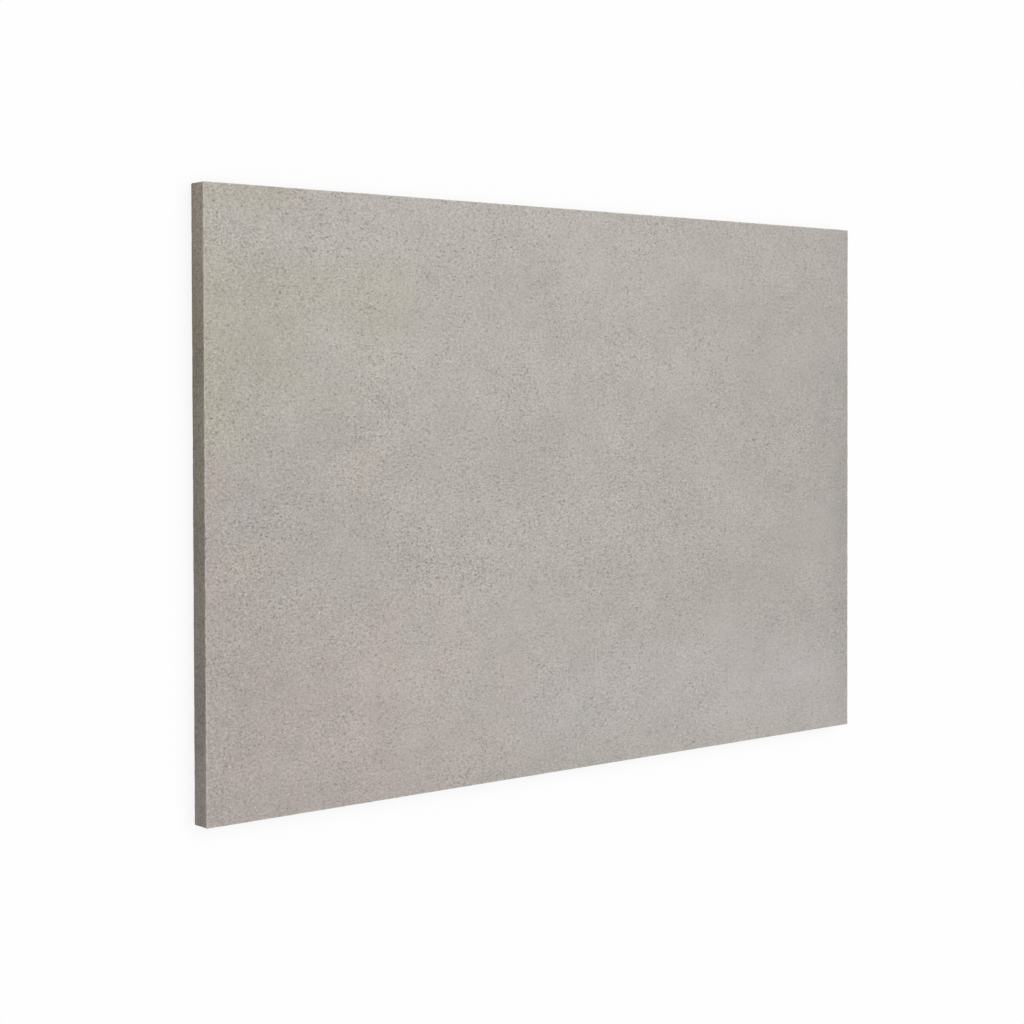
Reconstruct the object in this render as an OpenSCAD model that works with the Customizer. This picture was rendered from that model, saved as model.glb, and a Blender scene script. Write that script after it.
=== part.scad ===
// Cement board: a flat rectangular panel of dense cement-based material with square, sawn edges.
// It is one solid piece, lying on its back face.
// X runs along the length, Y along the width and Z up through the thickness.
// The origin is at the middle of the back face, on the surface that the board lies on.
// All sizes are in millimetres.

/* [Board] */
// Length, along X
board_length = 900; // [300:10:2400]
// Width, along Y
board_width = 600; // [200:10:1250]
// Thickness, along Z
board_thickness = 22; // [8:1:40]

/* [Edges] */
// Width of the bevel along the edges of the front face
front_arris = 1.0; // [0.2:0.1:3]
// Width of the bevel along the edges of the back face
back_arris = 1.0; // [0.2:0.1:3]
// Width of the bevel down each of the four corners
corner_arris = 1.2; // [0.2:0.1:4]

/* [Hidden] */
board_colour = [0.70, 0.68, 0.65];
// How far each profile runs past the board, so that the bevelled profile of the other directions trims it
over = 10;

// Outline of the face, seen from the front, with its four corners bevelled
module face_outline() {
    x = board_length / 2;
    y = board_width / 2;
    c = corner_arris;
    polygon([
        [-x + c, -y], [x - c, -y], [x, -y + c], [x, y - c],
        [x - c, y], [-x + c, y], [-x, y - c], [-x, -y + c]
    ]);
}

// Section across the board, span wide and board_thickness high, with the front and back arrises bevelled
module section(span) {
    h = span / 2;
    t = board_thickness;
    polygon([
        [-h + back_arris, 0], [h - back_arris, 0], [h, back_arris], [h, t - front_arris],
        [h - front_arris, t], [-h + front_arris, t], [-h, t - front_arris], [-h, back_arris]
    ]);
}

// The section swept along the length: it shapes the two long edges
module swept_along_length() {
    rotate([90, 0, 90])
        linear_extrude(height = board_length + 2 * over, center = true)
            section(board_width);
}

// The section swept along the width: it shapes the two short edges
module swept_along_width() {
    rotate([90, 0, 0])
        linear_extrude(height = board_width + 2 * over, center = true)
            section(board_length);
}

// The whole panel: what the outline and both swept sections have in common
module cement_board() {
    color(board_colour)
        intersection() {
            linear_extrude(height = board_thickness)
                face_outline();
            swept_along_length();
            swept_along_width();
        }
}

cement_board();
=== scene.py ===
"""Cement board, 900 x 600 x 22 mm, lying flat on a pale studio floor.

The board is one closed mesh: flat pressed faces with open pores, worn arrises and sawn edges.
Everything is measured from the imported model's box, in metres. Inside the mesh code, lengths are in millimetres.
"""

import math

import bpy
import numpy as np
from mathutils import Matrix, Vector, geometry


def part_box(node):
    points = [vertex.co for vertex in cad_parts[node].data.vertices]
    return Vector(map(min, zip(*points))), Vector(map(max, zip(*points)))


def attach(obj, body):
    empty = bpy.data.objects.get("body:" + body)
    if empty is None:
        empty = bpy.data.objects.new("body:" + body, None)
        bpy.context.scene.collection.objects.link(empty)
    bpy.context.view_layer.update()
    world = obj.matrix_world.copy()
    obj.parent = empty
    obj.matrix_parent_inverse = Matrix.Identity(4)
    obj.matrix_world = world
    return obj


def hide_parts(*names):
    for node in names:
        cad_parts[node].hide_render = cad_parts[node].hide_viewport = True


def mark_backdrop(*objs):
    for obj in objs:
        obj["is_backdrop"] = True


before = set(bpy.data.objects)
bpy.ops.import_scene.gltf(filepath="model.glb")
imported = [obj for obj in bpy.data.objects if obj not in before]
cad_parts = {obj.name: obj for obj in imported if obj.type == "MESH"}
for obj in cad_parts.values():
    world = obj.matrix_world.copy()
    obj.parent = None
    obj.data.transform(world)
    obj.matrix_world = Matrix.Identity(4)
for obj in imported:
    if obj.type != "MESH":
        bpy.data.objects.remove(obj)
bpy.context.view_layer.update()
LO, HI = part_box("cement_board")
MM = 1000.0

# ---------------------------------------------------------------- the board's shape

COLUMN = 1.7  # spacing of the mesh along the edges
EDGE_ROWS = 12  # rows of mesh between the two arrises
ARC = 3  # steps round each arris
CORNER_RADIUS = 1.5  # seen from above
ARRIS = 1.0  # mean radius of the worn arris
MIN_ARRIS, MAX_ARRIS = 0.55, 1.4


def smooth_noise(rng, count, step, period):
    """Random values along a closed line of count points, step apart, that change over about period. Their spread is 1."""
    line = rng.standard_normal(count)
    wave = np.fft.rfftfreq(count, step)
    line = np.fft.irfft(np.fft.rfft(line) * np.exp(-((wave * period) ** 2) * 1.5), count)
    return (line - line.mean()) / line.std()


def smooth_field(rng, rows, cols, row_step, col_step, row_period, col_period):
    """The same on a grid that closes on itself along its columns."""
    pad = rows * 3
    field = rng.standard_normal((pad, cols))
    fr = np.fft.fftfreq(pad, row_step)[:, None] * row_period
    fc = np.fft.rfftfreq(cols, col_step)[None, :] * col_period
    field = np.fft.irfft2(np.fft.rfft2(field) * np.exp(-(fr**2 + fc**2) * 1.5), (pad, cols))
    field = field[rows : 2 * rows]
    return (field - field.mean()) / field.std()


def outline(half_x, half_y, radius, step):
    """Points round a rectangle with rounded corners, anticlockwise from above and starting at the lower left: place, outward normal, distance along, and side (0 lower, 1 right, 2 upper, 3 left)."""
    place, normal, side = [], [], []
    straight = (2 * (half_x - radius), 2 * (half_y - radius)) * 2
    starts = (
        (-half_x + radius, -half_y),
        (half_x, -half_y + radius),
        (half_x - radius, half_y),
        (-half_x, half_y - radius),
    )
    for k in range(4):
        along = Vector((math.cos(k * math.pi / 2), math.sin(k * math.pi / 2)))
        out = Vector((along.y, -along.x))
        n = max(2, round(straight[k] / step))
        for i in range(n):
            place.append(Vector(starts[k]) + along * (straight[k] * i / n))
            normal.append(out)
            side.append(k)
        centre = Vector(starts[k]) + along * straight[k] - out * radius
        for i in range(3):
            turn = math.radians(30 * i)
            way = out * math.cos(turn) + along * math.sin(turn)
            place.append(centre + way * radius)
            normal.append(way)
            side.append(k)
    place, normal = np.array(place), np.array(normal)
    gaps = np.linalg.norm(np.roll(place, -1, 0) - place, axis=1)
    return place, normal, np.concatenate([[0], np.cumsum(gaps)]), np.array(side)


def scatter(rng, count, half_x, half_y, radii, gap):
    """Places for up to count round things of these radii, none nearer than gap to another or to the border."""
    cell = 2 * float(radii.max()) + gap
    taken, found = {}, []
    for r in radii[:count]:
        for _ in range(12):
            x = float(rng.uniform(-half_x + r + gap, half_x - r - gap))
            y = float(rng.uniform(-half_y + r + gap, half_y - r - gap))
            i, j = int(x // cell), int(y // cell)
            near = [q for a in (i - 1, i, i + 1) for b in (j - 1, j, j + 1) for q in taken.get((a, b), ())]
            if all(math.hypot(x - q[0], y - q[1]) > r + q[2] + gap for q in near):
                taken.setdefault((i, j), []).append((x, y, r))
                found.append((x, y, float(r)))
                break
    return found


def within(points, ring):
    """Which points lie inside a closed ring of points."""
    ends = np.roll(ring, -1, 0)
    x, y = points[:, 0, None], points[:, 1, None]
    spans = (ring[:, 1] > y) != (ends[:, 1] > y)
    run = np.where(spans, ends[:, 1] - ring[:, 1], 1.0)
    cross = ring[:, 0] + (ends[:, 0] - ring[:, 0]) * (y - ring[:, 1]) / run
    return (spans & (x < cross)).sum(1) % 2 == 1


def pressed_face(rng, border, pores, half_x, half_y):
    """A flat face inside a closed border of 2D points, with open pores let into it.
    Returns the points past the border as (x, y, depth), the triangles, the painted shade at each triangle corner inside
    a pore (darker towards its bottom), and the pores' rims as pairs of points."""
    n = len(border)
    flat = [Vector((float(x), float(y))) for x, y in border]
    depth = [0.0] * n
    dark = [0.0] * n
    pore_of = [-1] * n
    limits = [(i, (i + 1) % n) for i in range(n)]
    rims = []
    for k, (x, y, r) in enumerate(pores):
        sides = 6 if r < 0.75 else 8
        stretch = 1 + 0.7 * rng.random() ** 2
        turn, phase = rng.uniform(0, math.pi), rng.uniform(0, 2 * math.pi)
        deep = r * rng.uniform(0.45, 0.9)
        # How dark the painted shade inside this pore is; it is darker at the bottom than at the rim
        shade = rng.uniform(0.55, 1.0)
        wobble = rng.uniform(0.78, 1.12, sides)
        c, s = math.cos(turn), math.sin(turn)
        rings = ((1.0, 0.0),) if r < 0.75 else ((1.0, 0.0), (0.6, 0.8))
        for size, drop in rings:
            first = len(flat)
            for i in range(sides):
                a = phase + 2 * math.pi * i / sides
                u = r * size * wobble[i] * math.cos(a) / math.sqrt(stretch)
                v = r * size * wobble[i] * math.sin(a) * math.sqrt(stretch) * 0.9
                flat.append(Vector((x + c * u - s * v, y + s * u + c * v)))
                depth.append(deep * drop)
                dark.append(shade * (1.0 if drop else 0.45))
                pore_of.append(k)
            ring = [(first + i, first + (i + 1) % sides) for i in range(sides)]
            limits += ring
            if not drop:
                rims += ring
        flat.append(Vector((x, y)))
        depth.append(deep)
        dark.append(shade)
        pore_of.append(k)
    # A loose net of points keeps the flat triangles from growing long and thin.
    pitch = 16.0
    nx, ny = int(2 * half_x / pitch), int(2 * half_y / pitch)
    held = {}
    for x, y, r in pores:
        held.setdefault((int(x // 8), int(y // 8)), []).append((x, y, r))
    for j in range(1, ny):
        for i in range(1, nx):
            x = -half_x + 2 * half_x * (i + 0.5 * (j % 2)) / nx + rng.uniform(-2, 2)
            y = -half_y + 2 * half_y * j / ny + rng.uniform(-2, 2)
            a, b = int(x // 8), int(y // 8)
            near = [q for u in (a - 1, a, a + 1) for v in (b - 1, b, b + 1) for q in held.get((u, v), ())]
            if abs(x) < half_x - 4 and all(math.hypot(x - q[0], y - q[1]) > q[2] * 1.6 + 0.8 for q in near):
                flat.append(Vector((x, y)))
                depth.append(0.0)
                dark.append(0.0)
                pore_of.append(-1)
    made, _, faces, _, _, _ = geometry.delaunay_2d_cdt(flat, limits, [], 1, 1e-6, False)
    if len(made) != len(flat):
        raise RuntimeError("the pores overlap, so the face has no clean triangles")
    depth, dark, pore_of = np.array(depth), np.array(dark), np.array(pore_of)
    faces = np.array(faces, dtype=np.int64)
    pts = np.array([(p.x, p.y) for p in flat])
    a, b, c = pts[faces[:, 0]], pts[faces[:, 1]], pts[faces[:, 2]]
    area = (b - a)[:, 0] * (c - a)[:, 1] - (b - a)[:, 1] * (c - a)[:, 0]
    faces[area < 0] = faces[area < 0][:, ::-1]
    # Triangles that fill the hollows outside the wavy border are dropped.
    maybe = np.flatnonzero(faces.max(1) < n)
    faces = np.delete(faces, maybe[~within(pts[faces[maybe]].mean(1), pts[:n])], axis=0)
    owner = pore_of[faces]
    inside = (owner.min(1) == owner.max(1)) & (owner[:, 0] >= 0) & (depth[faces].max(1) > 0)
    shade = np.where(inside[:, None], dark[faces], 0.0)
    return np.column_stack([pts[n:], depth[n:]]), faces, shade, rims


def pore_radii(rng, count, low, high, power):
    return np.sort(low + (high - low) * rng.random(count) ** power)[::-1]


def make_board(name, lo, hi):
    rng = np.random.default_rng(2207)
    half_x, half_y = (hi.x - lo.x) / 2 * MM, (hi.y - lo.y) / 2 * MM
    mid_x, mid_y = (hi.x + lo.x) / 2 * MM, (hi.y + lo.y) / 2 * MM
    top, thick = hi.z * MM, (hi.z - lo.z) * MM
    place, normal, along, side = outline(half_x, half_y, CORNER_RADIUS, COLUMN)
    n = len(place)
    total = float(along[-1])
    step = total / n

    # Each arris: its radius wanders a little, with a few small bruises.
    arrises = []
    for bruises in (26, 60):
        r = ARRIS + 0.10 * smooth_noise(rng, n, step, 30) + 0.11 * smooth_noise(rng, n, step, 5)
        for _ in range(bruises):
            at, wide, much = rng.uniform(0, total), rng.uniform(1.5, 4.0), rng.uniform(0.15, 0.45)
            gap = np.abs((along[:-1] - at + total / 2) % total - total / 2)
            r += much * np.exp(-((gap / wide) ** 2))
        arrises.append(np.clip(r, MIN_ARRIS, MAX_ARRIS))
    front, back = arrises

    # Rings from the front face's border, over the arris, down the edge and round to the back: (inset, drop) along every column.
    turns = [math.radians(90 * i / ARC) for i in range(ARC + 1)]
    rings = [(front * (1 - math.sin(t)), front * (1 - math.cos(t))) for t in turns]
    for i in range(1, EDGE_ROWS):
        share = i / EDGE_ROWS
        rings.append((np.zeros(n), front + (thick - front - back) * share))
    rings += [(back * (1 - math.sin(t)), thick - back * (1 - math.cos(t))) for t in reversed(turns)]
    inset = np.array([r[0] for r in rings])
    drop = np.array([r[1] for r in rings])
    rows = len(rings)

    # The sawn edge: shallow lengthwise grooves, coarse grain and open pores, all cut inwards.
    row_step = thick / rows
    grooves = smooth_field(rng, rows, n, row_step, step, 3.2, 160)
    grain = smooth_field(rng, rows, n, row_step, step, 2.0, 2.4)
    relief = 0.10 + 0.035 * grooves + 0.040 * grain
    # Painted shade in the edge's pits: the deeper the pit is cut, the darker
    edge_pit_shade = np.zeros((rows, n))
    for _ in range(700):
        r, c = int(rng.integers(4, rows - 4)), int(rng.integers(0, n))
        much = rng.uniform(0.10, 0.42)
        relief[r, c] += much
        edge_pit_shade[r, c] = min(1.0, 0.3 + 1.4 * much)
        if rng.random() < 0.35:
            c2 = (c + 1) % n
            relief[r, c2] += much * 0.7
            edge_pit_shade[r, c2] = min(1.0, 0.2 + 1.1 * much)
    relief = np.clip(relief, 0.0, 0.8)
    fade = np.ones(rows)
    fade[: ARC + 1] = [0.0, 0.3, 0.6, 0.85]
    fade[-ARC - 1 :] = [0.85, 0.6, 0.3, 0.0]
    relief *= fade[:, None]
    # How much paler each row of the arrises is painted: wear, and a painted highlight along the arris
    wear_and_highlight = np.zeros(rows)
    wear_and_highlight[: ARC + 1] = [0.55, 1.0, 1.0, 0.5]
    wear_and_highlight[-ARC - 1 :] = [0.5, 1.0, 1.0, 0.55]
    edge = np.ones(rows)
    edge[: ARC + 1] = [0.0, 0.15, 0.55, 1.0]
    edge[-ARC - 1 :] = [1.0, 0.55, 0.15, 0.0]

    ring_points = np.empty((rows, n, 3))
    cut = inset + relief
    ring_points[:, :, :2] = place[None] - normal[None] * cut[:, :, None]
    ring_points[:, :, 2] = top - drop
    ring_points[:, :, 0] += mid_x
    ring_points[:, :, 1] += mid_y

    # The two faces
    def face(border_row, count, low, high, power, gap):
        border = ring_points[border_row][:, :2] - (mid_x, mid_y)
        radii = pore_radii(rng, count, low, high, power)
        pores = scatter(rng, count, half_x - 2.2, half_y - 2.2, radii, gap)
        return pressed_face(rng, border, pores, half_x, half_y)

    front_pts, front_tris, front_pore_shade, front_rims = face(0, 3400, 0.32, 0.95, 2.4, 0.5)
    back_pts, back_tris, back_pore_shade, back_rims = face(rows - 1, 1700, 0.4, 1.6, 2.6, 0.6)

    verts = [ring_points.reshape(-1, 3)]
    base = rows * n
    f = np.column_stack([front_pts[:, 0] + mid_x, front_pts[:, 1] + mid_y, top - front_pts[:, 2]])
    b = np.column_stack([back_pts[:, 0] + mid_x, back_pts[:, 1] + mid_y, top - thick + back_pts[:, 2]])
    verts += [f, b]
    verts = np.concatenate(verts) / MM

    def global_ids(ids, border_first, inner_first):
        return np.where(ids < n, ids + border_first, ids - n + inner_first)

    front_ids = global_ids(front_tris, 0, base)
    back_ids = global_ids(back_tris, (rows - 1) * n, base + len(f))[:, ::-1]
    cols = np.arange(n)
    nxt = (cols + 1) % n
    quads = np.concatenate(
        [np.column_stack([r * n + cols, (r + 1) * n + cols, (r + 1) * n + nxt, r * n + nxt]) for r in range(rows - 1)]
    )

    mesh = bpy.data.meshes.new(name)
    counts = np.concatenate([np.full(len(quads), 4), np.full(len(front_ids) + len(back_ids), 3)])
    corners = np.concatenate([quads.ravel(), front_ids.ravel(), back_ids.ravel()])
    mesh.vertices.add(len(verts))
    mesh.vertices.foreach_set("co", verts.ravel())
    mesh.loops.add(len(corners))
    mesh.loops.foreach_set("vertex_index", corners.astype(np.int32))
    mesh.polygons.add(len(counts))
    mesh.polygons.foreach_set("loop_start", np.concatenate([[0], np.cumsum(counts)[:-1]]).astype(np.int32))
    mesh.update(calc_edges=True)
    if mesh.validate():
        raise RuntimeError("the board's mesh needed mending")
    sides_of_edges = np.bincount([loop.edge_index for loop in mesh.loops])
    print("board mesh:", len(counts), "faces,", int((sides_of_edges != 2).sum()), "edges without exactly two faces")

    # What the material reads at each corner of each face.
    def ring_values(per_row):
        grid = np.broadcast_to(np.asarray(per_row)[:, None], (rows, n)) if np.ndim(per_row) == 1 else per_row
        flat = np.concatenate([grid.ravel(), np.zeros(len(f) + len(b))])
        return flat

    quad_corners = len(quads) * 4
    pore_shade = np.zeros(len(corners))
    pore_shade[:quad_corners] = ring_values(edge_pit_shade)[quads.ravel()]
    pore_shade[quad_corners : quad_corners + front_pore_shade.size] = front_pore_shade.ravel()
    pore_shade[quad_corners + front_pore_shade.size :] = back_pore_shade[:, ::-1].ravel()
    worn_and_highlight = np.zeros(len(corners))
    worn_and_highlight[:quad_corners] = ring_values(wear_and_highlight)[quads.ravel()]
    sawn = np.zeros(len(corners))
    sawn[:quad_corners] = ring_values(edge)[quads.ravel()]
    for title, values in (("pore_shade", pore_shade), ("wear_and_highlight", worn_and_highlight), ("sawn", sawn)):
        mesh.attributes.new(title, "FLOAT", "CORNER").data.foreach_set("value", values.astype(np.float32))

    # Smooth shading inside each pore and round each arris, with sharp borders, so that the faces stay flat.
    mesh.polygons.foreach_set("use_smooth", np.ones(len(counts), bool))
    sharp = set()
    for first in (0, (rows - 1) * n):
        sharp |= {(first + i, first + (i + 1) % n) for i in range(n)}
    for rims, inner in ((front_rims, base), (back_rims, base + len(f))):
        sharp |= {(a - n + inner, b_ - n + inner) for a, b_ in rims}
    sharp = {tuple(sorted(e)) for e in sharp}
    ends = np.empty(len(mesh.edges) * 2, np.int32)
    mesh.edges.foreach_get("vertices", ends)
    ends = np.sort(ends.reshape(-1, 2), axis=1)
    flags = np.array([(int(a), int(b_)) in sharp for a, b_ in ends])
    mesh.attributes.new("sharp_edge", "BOOLEAN", "EDGE").data.foreach_set("value", flags)

    # A map for textures: the front at 1 mm to a pixel of a 1024 map, the back squeezed above it, and the edges in four strips.
    size = 1024.0
    uv = np.empty((len(corners), 2))
    deep = np.concatenate([[0], np.cumsum(np.hypot(np.diff(inset.mean(1)), np.diff(drop.mean(1))))])
    starts = np.array([along[np.argmax(side == k)] for k in range(4)])
    rr = np.repeat(np.arange(rows - 1), n)
    cc = np.tile(cols, rows - 1)
    quad_rows = np.stack([rr, rr + 1, rr + 1, rr], 1)
    quad_along = np.stack([along[cc], along[cc], along[cc + 1], along[cc + 1]], 1)
    which = side[cc][:, None]
    uv[:quad_corners, 0] = (909 + 28 * which + deep[quad_rows]).ravel() / size
    uv[:quad_corners, 1] = (4 + quad_along - starts[which]).ravel() / size
    x = verts[corners][:, 0] * MM - mid_x + half_x
    y = verts[corners][:, 1] * MM - mid_y + half_y
    a, b_ = quad_corners, quad_corners + front_ids.size
    wide, high = 900 / (2 * half_x), 600 / (2 * half_y)
    uv[a:b_, 0] = (4 + x[a:b_] * wide) / size
    uv[a:b_, 1] = (4 + y[a:b_] * high) / size
    uv[b_:, 0] = (904 - x[b_:] * wide) / size
    uv[b_:, 1] = (612 + y[b_:] * high * 0.68) / size
    layer = mesh.uv_layers.new(name="OFBake", do_init=False)
    layer.uv.foreach_set("vector", uv.astype(np.float32).ravel())
    mesh.update()

    board = bpy.data.objects.new(name, mesh)
    bpy.context.scene.collection.objects.link(board)
    return board


# ---------------------------------------------------------------- the material


class Tree:
    """Short calls for building a node tree."""

    def __init__(self, tree):
        self.tree = tree
        tree.nodes.clear()

    def add(self, kind, inputs=None, out=0, **settings):
        node = self.tree.nodes.new(kind)
        for key, value in settings.items():
            setattr(node, key, value)
        for key, value in (inputs or {}).items():
            self.feed(node.inputs[key], value)
        return node.outputs[out] if out is not None else node

    def feed(self, socket, value):
        if isinstance(value, bpy.types.NodeSocket):
            self.tree.links.new(value, socket)
        else:
            socket.default_value = value

    def math(self, operation, a, b=0.0, c=None, clamp=False):
        inputs = {0: a, 1: b}
        if c is not None:
            inputs[2] = c
        return self.add("ShaderNodeMath", inputs, operation=operation, use_clamp=clamp)

    def ramp(self, value, low, high, to_low=0.0, to_high=1.0, smooth=True):
        """value between low and high, as a share from to_low to to_high."""
        return self.add(
            "ShaderNodeMapRange",
            {"Value": value, "From Min": low, "From Max": high, "To Min": to_low, "To Max": to_high},
            interpolation_type="SMOOTHSTEP" if smooth else "LINEAR",
            clamp=True,
        )

    def move(self, vector, scale=(1, 1, 1), shift=(0, 0, 0)):
        return self.add("ShaderNodeMapping", {"Vector": vector, "Location": shift, "Scale": scale})

    def noise(self, vector, scale, detail=2.0, roughness=0.5, lacunarity=2.0):
        return self.add(
            "ShaderNodeTexNoise",
            {"Vector": vector, "Scale": scale, "Detail": detail, "Roughness": roughness, "Lacunarity": lacunarity},
            noise_dimensions="3D",
        )

    def spot(self, vector, centre, reach, down=25.0):
        """1 at a place on the front face, falling smoothly to 0 at the given reach along X and Y, and 1 / down below it."""
        scale = (1 / reach[0], 1 / reach[1], down)
        shift = (-centre[0] / reach[0], -centre[1] / reach[1], -down * HI.z)
        far = self.add("ShaderNodeVectorMath", {0: self.move(vector, scale, shift)}, out=None, operation="LENGTH")
        return self.ramp(far.outputs["Value"], 1.0, 0.0)

    def specks(self, vector, scale, least, most, power, soft=0.45):
        """Scattered spots, 1 inside and 0 outside. least and most are their radii as shares of a cell, and a higher power makes large ones rarer."""
        cells = self.add(
            "ShaderNodeTexVoronoi",
            {"Vector": vector, "Scale": scale, "Randomness": 1.0},
            out=None,
            voronoi_dimensions="3D",
            feature="F1",
        )
        pick = self.add("ShaderNodeSeparateColor", {"Color": cells.outputs["Color"]}, out=None)
        spread = self.math("POWER", pick.outputs[0], power)
        radius = self.math("MULTIPLY_ADD", spread, most - least, least)
        gap = self.math("SUBTRACT", radius, cells.outputs["Distance"])
        edge = self.math("MULTIPLY", self.math("MAXIMUM", radius, 0.02), soft)
        return self.math("DIVIDE", gap, edge, clamp=True), pick.outputs[1]


def mix_colour(t, base, colour, share, blend="MIX"):
    node = t.tree.nodes.new("ShaderNodeMix")
    node.data_type = "RGBA"
    node.blend_type = blend
    node.clamp_factor = True
    t.feed(node.inputs[0], share)
    t.feed(node.inputs[6], base)
    t.feed(node.inputs[7], colour)
    return node.outputs[2]


def cement():
    material = bpy.data.materials.new("cement")
    material.use_nodes = True
    t = Tree(material.node_tree)
    here = t.add("ShaderNodeTexCoord", out=None).outputs["Object"]
    pore_shade = t.add("ShaderNodeAttribute", out=None, attribute_name="pore_shade").outputs["Fac"]
    wear_and_highlight = t.add("ShaderNodeAttribute", out=None, attribute_name="wear_and_highlight").outputs["Fac"]
    sawn = t.add("ShaderNodeAttribute", out=None, attribute_name="sawn").outputs["Fac"]

    # Grit and flecks lie a little longer along the board than across it, and more so towards its right end.
    at = t.add("ShaderNodeSeparateXYZ", {"Vector": here}, out=None)
    slower = t.math("MULTIPLY_ADD", at.outputs["X"], FINE_BEND, FINE_X)
    fine = t.add(
        "ShaderNodeCombineXYZ",
        {"X": t.math("MULTIPLY", at.outputs["X"], slower), "Y": t.math("MULTIPLY", at.outputs["Y"], FINE_Y), "Z": at.outputs["Z"]},
    )

    # Where the grit and flecks crowd together and where they thin out
    crowd = t.noise(t.move(here, shift=CROWD_SHIFT), 10.0, 4.0, 0.6)
    crowd = t.math("MULTIPLY_ADD", crowd, CROWD, 1.0 - 0.5 * CROWD)
    for centre, reach, amount in CROWDS:
        crowd = t.math("MULTIPLY_ADD", t.spot(here, centre, reach), amount, crowd)
    crowd = t.math("MULTIPLY", crowd, t.math("MULTIPLY_ADD", sawn, EDGE_GRIT - 1.0, 1.0))

    # Cement grain at two sizes, and the slow changes in tone that the mix leaves behind
    grains = [t.noise(t.move(fine, shift=(3.1 + i, 1.7 * i, 0.4)), scale, 0.0) for i, (scale, _) in enumerate(GRAINS)]
    grain = grains[1]
    mottle = t.noise(t.move(here, shift=(0.6, 4.2, 2.2)), 38.0, 1.0, 0.5)
    cloud = t.noise(t.move(here, scale=(0.75, 1.15, 1.0), shift=(7.3, 0.2, 1.1)), 12.0, 2.0, 0.55)
    grit = 0.0
    for value, (_, share) in zip(grains, GRAINS):
        grit = t.math("MULTIPLY_ADD", value, share, t.math("ADD", grit, -0.5 * share))
    level = t.math("MULTIPLY_ADD", grit, crowd, 1.0)
    for value, share in ((mottle, MOTTLE), (cloud, CLOUD)):
        level = t.math("ADD", level, t.math("MULTIPLY_ADD", value, share, -0.5 * share))

    # Slow changes of tone, painted light and shade (lighter towards the +Y long edge, darker towards both ends and
    # along the -Y long edge) and faint stains: soft oval spots on the front face
    for centre, reach, amount in TONES_AND_PAINTED_LIGHT:
        level = t.math("MULTIPLY_ADD", t.spot(here, centre, reach), amount, level)
    colour = (*BASE, 1.0)
    warp = t.noise(t.move(here, shift=(1.9, 2.8, 5.0)), 9.0, 3.0, 0.6)
    for centre, reach, tint in STAINS:
        share = t.math("ADD", t.spot(here, centre, reach), t.math("MULTIPLY_ADD", warp, 1.2, -0.6))
        colour = mix_colour(t, colour, (*tint, 1.0), t.ramp(share, 0.12, 0.85), "MULTIPLY")
    drift = t.noise(t.move(here, shift=(9.2, 3.3, 0.9)), 26.0, 2.0, 0.5)
    colour = mix_colour(t, colour, (1.0, 0.992, 0.995, 1.0), t.ramp(drift, 0.50, 0.66), "MULTIPLY")
    colour = mix_colour(t, colour, (0.992, 1.0, 0.986, 1.0), t.ramp(drift, 0.48, 0.34), "MULTIPLY")

    # Sawn edges: browner than the pressed faces, with streaks along the saw's travel
    streaks = t.noise(t.move(here, scale=(5.0, 5.0, 420.0)), 1.0, 2.0, 0.6)
    along = t.noise(t.move(here, shift=(2.5, 0.5, 8.0)), 9.0, 2.0, 0.6)
    colour = mix_colour(t, colour, (*EDGE_TINT, 1.0), sawn, "MULTIPLY")
    edge_level = t.math("MULTIPLY_ADD", streaks, EDGE_STREAK, -0.5 * EDGE_STREAK)
    edge_level = t.math("ADD", edge_level, t.math("MULTIPLY_ADD", along, 0.30, -0.15))
    for centre, reach, amount, tint in EDGE_PATCHES:
        share = t.spot(here, centre, reach, 0.0)
        edge_level = t.math("MULTIPLY_ADD", share, amount, edge_level)
        colour = mix_colour(t, colour, (*tint, 1.0), t.math("MULTIPLY", share, sawn), "MULTIPLY")
    level = t.math("MULTIPLY_ADD", sawn, edge_level, level)

    colour = t.add("ShaderNodeVectorMath", {0: colour, "Scale": level}, operation="SCALE")

    # Dark flecks and pores of three sizes, short dark scratches, and pale grains of sand
    bent = t.add(
        "ShaderNodeVectorMath",
        {0: fine, 1: t.add("ShaderNodeVectorMath", {0: t.add("ShaderNodeTexNoise", {"Vector": fine, "Scale": 700.0, "Detail": 1.0}, out=1), "Scale": 0.0011}, operation="SCALE")},
        operation="ADD",
    )
    flecks = t.noise(t.move(bent, shift=(0.4, 0.8, 0.6)), FLECK_SIZE, 1.0, 0.6)
    flecks = t.ramp(flecks, *FLECK_RANGE)
    small, small_pick = t.specks(t.move(bent, shift=(0.011, 0.023, 0.005)), 310.0, -0.05, 0.34, 1.4)
    large, large_pick = t.specks(t.move(bent, shift=(0.31, 0.17, 0.05)), 150.0, -0.12, 0.27, 2.2)
    dash_a, _ = t.specks(t.move(bent, scale=(0.42, 1.5, 1.0), shift=(0.2, 0.4, 0.1)), 175.0, -0.2, 0.25, 2.4)
    dash_b, _ = t.specks(t.move(bent, scale=(1.5, 0.42, 1.0), shift=(0.6, 0.1, 0.3)), 175.0, -0.2, 0.25, 2.4)
    pale, _ = t.specks(t.move(bent, shift=(0.71, 0.53, 0.2)), 260.0, -0.08, 0.30, 1.8)
    small = t.math("MULTIPLY", small, t.math("MULTIPLY_ADD", small_pick, 0.7, 0.3))
    large = t.math("MULTIPLY", large, t.math("MULTIPLY_ADD", large_pick, 0.5, 0.5))
    dashes = t.math("MAXIMUM", dash_a, dash_b)
    colour = mix_colour(t, colour, (*PALE_GRAIN, 1.0), t.math("MULTIPLY", pale, PALE))
    colour = mix_colour(t, colour, (*DARK_FLECK, 1.0), t.math("MULTIPLY", t.math("MULTIPLY", flecks, crowd), FLECK))
    colour = mix_colour(t, colour, (*DARK_FLECK, 1.0), t.math("MULTIPLY", t.math("MULTIPLY", small, crowd), SMALL))
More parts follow.
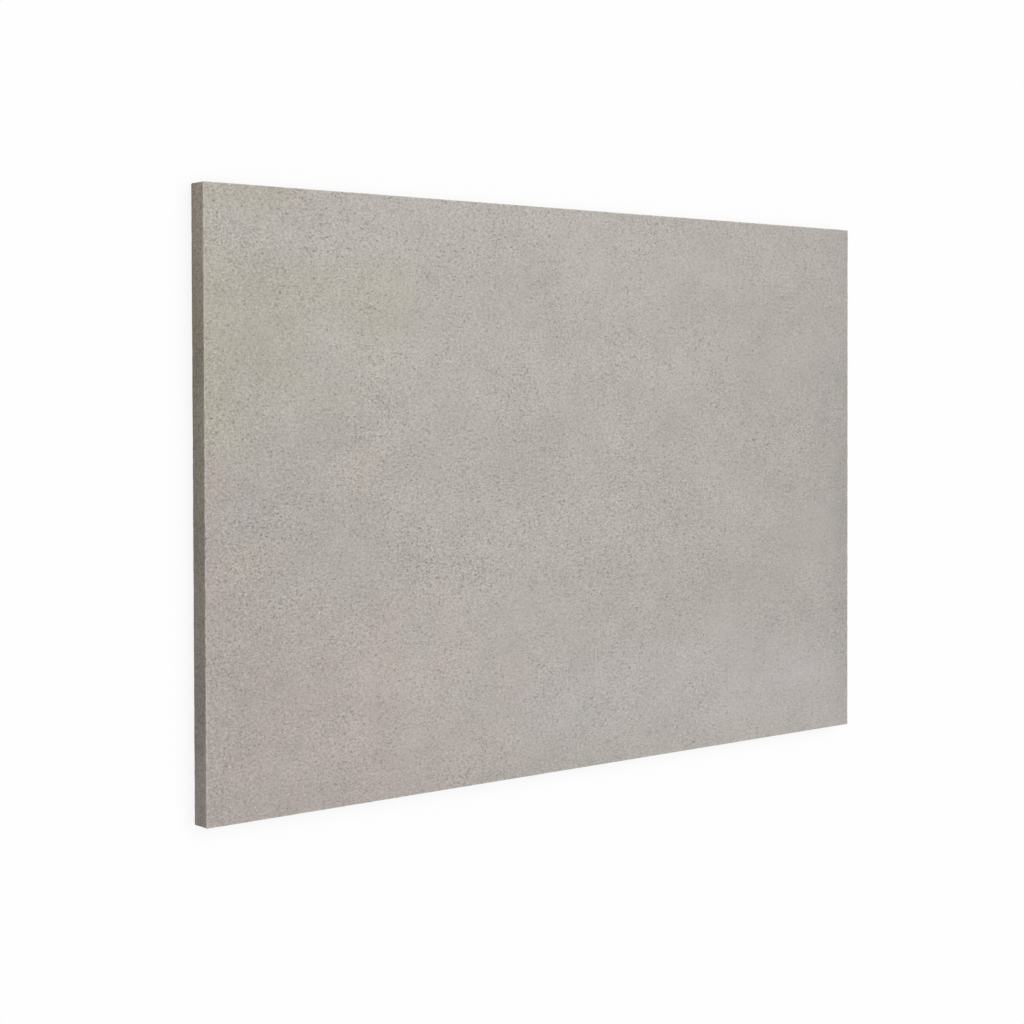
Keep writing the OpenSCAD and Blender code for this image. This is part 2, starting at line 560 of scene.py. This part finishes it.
    colour = mix_colour(t, colour, (*DARK_FLECK, 1.0), t.math("MULTIPLY", t.math("MULTIPLY", dashes, crowd), DASH))
    colour = mix_colour(t, colour, (*DARK_FLECK, 1.0), t.math("MULTIPLY", t.math("MULTIPLY", large, crowd), LARGE))
    # Painted shade in the mesh's pores and edge pits, darker towards their bottoms
    colour = mix_colour(t, colour, (*PORE_SHADE, 1.0), pore_shade, "MULTIPLY")
    # Every arris is painted paler in patches: partly wear, partly a painted highlight along the arris
    rub_and_highlight = t.math("MULTIPLY", wear_and_highlight, t.ramp(t.noise(t.move(here, shift=(4.0, 4.0, 4.0)), 160.0, 2.0, 0.6), 0.30, 0.62))
    colour = mix_colour(t, colour, (*WORN_AND_HIGHLIGHT, 1.0), t.math("MULTIPLY", rub_and_highlight, WEAR_AND_HIGHLIGHT))

    # Relief: the grain stands a little proud, and the flecks sit in shallow pits
    height = t.math("MULTIPLY", grain, 0.16)
    height = t.math("ADD", height, t.math("MULTIPLY", mottle, 0.10))
    height = t.math("SUBTRACT", height, t.math("MULTIPLY", small, 0.16))
    height = t.math("SUBTRACT", height, t.math("MULTIPLY", large, 0.26))
    height = t.math("SUBTRACT", height, t.math("MULTIPLY", dashes, 0.12))
    height = t.math("ADD", height, t.math("MULTIPLY", pale, 0.07))
    height = t.math("ADD", height, t.math("MULTIPLY", sawn, t.math("MULTIPLY", streaks, 0.25)))
    normal = t.add("ShaderNodeBump", {"Strength": 1.0, "Distance": 0.0006, "Height": height})
    rough = t.math("MULTIPLY_ADD", grain, 0.16, 0.74)
    rough = t.math("ADD", rough, t.math("MULTIPLY", sawn, 0.06), clamp=True)

    shader = t.add("ShaderNodeBsdfPrincipled", {"Base Color": colour, "Roughness": rough, "Normal": normal}, out=None)
    shader.inputs["IOR"].default_value = 1.5
    shader.inputs["Specular IOR Level"].default_value = 0.35
    t.add("ShaderNodeOutputMaterial", {"Surface": shader.outputs[0]}, out=None)
    return material


# How strong each part of the finish is. Colours are linear.
BASE = (0.410, 0.3835, 0.356)
FINE_X = 0.745
FINE_BEND = -0.1200
FINE_Y = 1.10
GRAINS = ((620.0, 0.470), (410.0, 0.380))
MOTTLE = 0.115
CLOUD = 0.215
CROWD = 1.70
CROWD_SHIFT = (5.1, 6.4, 3.3)
FLECK = 0.455
FLECK_SIZE = 420.0
FLECK_RANGE = (0.60, 0.74)
SMALL = 0.37
LARGE = 0.36
DASH = 0.30
PALE = 0.48
DARK_FLECK = (0.115, 0.105, 0.095)
PALE_GRAIN = (0.63, 0.60, 0.56)
# The painted shade at the bottom of pores and pits
PORE_SHADE = (0.58, 0.575, 0.565)
EDGE_TINT = (0.925, 0.895, 0.82)
EDGE_STREAK = 0.22
EDGE_GRIT = 1.25
# The paler colour along the arrises and its strength: wear and a painted highlight
WORN_AND_HIGHLIGHT = (0.62, 0.575, 0.53)
WEAR_AND_HIGHLIGHT = 0.75
# Each crowd: its place and reach on the face, and how much stronger the grit and flecks are there
CROWDS = (
    ((-0.15, 0.30), (0.65, 0.08), 0.13),
    ((0.00, -0.03), (0.55, 0.11), 0.15),
    ((0.62, 0.00), (0.55, 1.50), -0.41),
    ((0.32, -0.30), (0.40, 0.22), -0.19),
    ((-0.45, -0.10), (0.24, 0.28), 0.08),
    ((0.38, 0.26), (0.30, 0.20), -0.09),
    ((-0.30, 0.16), (0.25, 0.12), -0.08),
    ((-0.06, -0.15), (0.22, 0.11), -0.22),
    ((0.04, 0.14), (0.14, 0.09), -0.18),
    ((0.27, -0.05), (0.13, 0.07), 0.22),
)
# Each tone: its place and reach on the face, and how much lighter it is. The broad ones are painted light and shade:
# lighter towards the +Y long edge, darker towards both ends and along the -Y long edge
TONES_AND_PAINTED_LIGHT = (
    ((-0.12, 0.34), (0.75, 0.44), 0.064),
    ((-0.50, -0.05), (0.30, 0.38), -0.085),
    ((-0.42, -0.27), (0.26, 0.16), -0.040),
    ((-0.40, -0.11), (0.07, 0.06), -0.020),
    ((0.50, 0.04), (0.30, 0.42), -0.080),
    ((0.47, -0.09), (0.085, 0.34), -0.078),
    ((0.29, 0.20), (0.11, 0.06), -0.015),
    ((0.11, 0.10), (0.05, 0.06), -0.012),
    ((0.15, -0.115), (0.55, 0.055), -0.025),
    ((0.20, -0.215), (0.42, 0.08), 0.030),
    ((-0.18, -0.33), (0.52, 0.11), -0.058),
    ((0.42, 0.32), (0.22, 0.12), -0.030),
    ((0.20, 0.17), (0.22, 0.12), 0.022),
    ((0.437, -0.09), (0.021, 0.36), -0.043),
    ((0.00, -0.30), (0.70, 0.045), -0.026),
    ((-0.26, -0.29), (0.24, 0.05), -0.014),
)
# Each stain: its place and reach on the face, and its tint
STAINS = (
    ((-0.36, 0.165), (0.26, 0.135), (0.989, 1.0, 0.942)),
    ((-0.455, 0.15), (0.060, 0.30), (0.996, 1.0, 0.958)),
    ((-0.36, -0.27), (0.46, 0.37), (1.030, 0.979, 0.985)),
    ((-0.455, -0.03), (0.070, 0.17), (1.030, 0.982, 0.988)),
    ((-0.19, -0.13), (0.14, 0.09), (1.020, 0.988, 0.985)),
    ((0.18, -0.225), (0.46, 0.085), (1.0, 1.0, 1.030)),
    ((0.43, -0.235), (0.18, 0.13), (1.0, 1.0, 1.018)),
    ((-0.235, 0.210), (0.08, 0.08), (0.996, 1.0, 0.955)),
    ((-0.415, 0.075), (0.06, 0.06), (1.0, 1.0, 0.952)),
    ((-0.395, 0.295), (0.10, 0.04), (1.0, 1.0, 0.945)),
    ((-0.30, 0.145), (0.07, 0.06), (1.0, 1.0, 1.042)),
    ((-0.40, -0.055), (0.08, 0.06), (1.036, 0.996, 0.992)),
    ((-0.20, -0.14), (0.06, 0.055), (0.962, 1.005, 1.0)),
)
# Lighter, darker and tinted patches on the left sawn edge, all the way down: place, reach, how much lighter, and tint
EDGE_PATCHES = (
    ((-0.45, 0.275), (0.06, 0.085), 0.100, (1.042, 0.998, 0.996)),
    ((-0.45, 0.185), (0.06, 0.080), 0.0, (1.036, 0.998, 1.030)),
    ((-0.45, 0.095), (0.06, 0.150), -0.062, (1.004, 1.0, 1.0)),
    ((-0.45, 0.00), (0.06, 0.130), 0.0, (0.955, 1.0, 0.982)),
    ((-0.45, -0.275), (0.06, 0.090), 0.120, (0.985, 1.0, 1.038)),
    ((-0.45, -0.18), (0.06, 0.160), -0.014, (0.985, 1.0, 1.040)),
)


# ---------------------------------------------------------------- the board in the frame

board = make_board("board", LO, HI)
board.data.materials.append(cement())
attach(board, "root")
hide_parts("cement_board")

# ---------------------------------------------------------------- the studio

# The floor is white to the camera, with a faint shadow, and throws less light on the board's edges than it shows.
WHITE = 0.995
FLOOR_PAINT = 0.90
FLOOR_SHADOW = 0.20
FLOOR_BOUNCE = 0.50


def pale_floor():
    mesh = bpy.data.meshes.new("floor")
    reach, rings = 40.0, 64
    around = [(math.cos(2 * math.pi * i / rings), math.sin(2 * math.pi * i / rings)) for i in range(rings)]
    verts = [(0.0, 0.0, 0.0)] + [(x * reach, y * reach, 0.0) for x, y in around]
    mesh.from_pydata(verts, [], [(0, 1 + i, 1 + (i + 1) % rings) for i in range(rings)])
    floor = bpy.data.objects.new("floor", mesh)
    floor.location = ((LO.x + HI.x) / 2, (LO.y + HI.y) / 2, LO.z - 0.0001)
    bpy.context.scene.collection.objects.link(floor)
    material = bpy.data.materials.new("floor_paint")
    material.use_nodes = True
    t = Tree(material.node_tree)
    seen = t.add("ShaderNodeLightPath", out=None).outputs["Is Camera Ray"]
    bounce = t.add("ShaderNodeBsdfDiffuse", {"Color": (FLOOR_BOUNCE, FLOOR_BOUNCE, FLOOR_BOUNCE, 1.0)})
    paint = t.add("ShaderNodeBsdfDiffuse", {"Color": (FLOOR_PAINT, FLOOR_PAINT, FLOOR_PAINT, 1.0)})
    glow = t.add("ShaderNodeEmission", {"Color": (WHITE, WHITE, WHITE, 1.0), "Strength": 1.0})
    shown = t.add("ShaderNodeMixShader", {0: FLOOR_SHADOW, 1: glow, 2: paint})
    t.add("ShaderNodeOutputMaterial", {"Surface": t.add("ShaderNodeMixShader", {0: seen, 1: bounce, 2: shown})}, out=None)
    mesh.materials.append(material)
    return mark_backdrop(floor)


pale_floor()

AMBIENT = 0.42
KEY = 2.15
KEY_SOFT = 75.0
KEY_FROM = (0.10, 0.16, 1.0)
world = bpy.data.worlds.new("studio")
world.use_nodes = True
bpy.context.scene.world = world
w = Tree(world.node_tree)
seen = w.add("ShaderNodeLightPath", out=None).outputs["Is Camera Ray"]
light = w.add("ShaderNodeBackground", {"Color": (1.0, 1.0, 1.0, 1.0), "Strength": AMBIENT})
shown = w.add("ShaderNodeBackground", {"Color": (WHITE, WHITE, WHITE, 1.0), "Strength": 1.0})
w.add("ShaderNodeOutputWorld", {"Surface": w.add("ShaderNodeMixShader", {0: seen, 1: light, 2: shown})}, out=None)

key = bpy.data.lights.new("overhead_light", "SUN")
key.energy = KEY
key.angle = math.radians(KEY_SOFT)
lamp = bpy.data.objects.new("overhead_light", key)
lamp.rotation_euler = Vector(KEY_FROM).to_track_quat("Z", "Y").to_euler()
bpy.context.scene.collection.objects.link(lamp)

# The camera looks down on the board from beyond its left edge, with the board's width upright in the picture.
face_mid = Vector(((LO.x + HI.x) / 2, (LO.y + HI.y) / 2, HI.z))
cam_data = bpy.data.cameras.new("camera")
cam_data.sensor_width = 36.0
cam_data.lens = 69.91
cam_data.shift_y = -0.078
cam_data.clip_start, cam_data.clip_end = 0.05, 200.0
camera = bpy.data.objects.new("camera", cam_data)
ahead = Vector((0.6395, -0.0195, -0.7686)).normalized()
up = Vector((0.0145, 0.9998, -0.0134))
up = (up - ahead * up.dot(ahead)).normalized()
right = ahead.cross(up)
camera.matrix_world = Matrix.Translation(face_mid + Vector((-1.4066, 0.1035, 1.5940))) @ Matrix(
    (right, up, -ahead)
).transposed().to_4x4()
bpy.context.scene.collection.objects.link(camera)
bpy.context.scene.camera = camera
bpy.context.scene.view_settings.view_transform = "Standard"
